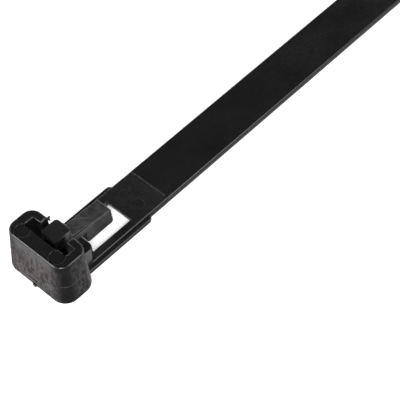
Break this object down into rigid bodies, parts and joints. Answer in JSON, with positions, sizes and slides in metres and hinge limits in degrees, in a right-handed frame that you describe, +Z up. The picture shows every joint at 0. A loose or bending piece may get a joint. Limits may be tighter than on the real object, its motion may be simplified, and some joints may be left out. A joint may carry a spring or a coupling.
{
  "type": "cable tie",
  "caption": "Black releasable cable tie: toothed strap, block head with a strap slot, sprung pawl and a release lever over a window",
  "frame": {"origin": "middle of the strap slot, on the plane that the tie lies on", "axes": "+X along the strap towards its free end, +Y across the strap, +Z up through the head, the way the free end leaves the slot"},
  "size_m": [0.1501, 0.0122, 0.008],
  "materials": {
    "nylon": "moulded black nylon, satin with glossy edges"
  },
  "bodies": {
    "root": {"cable_tie": "nylon"}
  },
  "joints": []
}
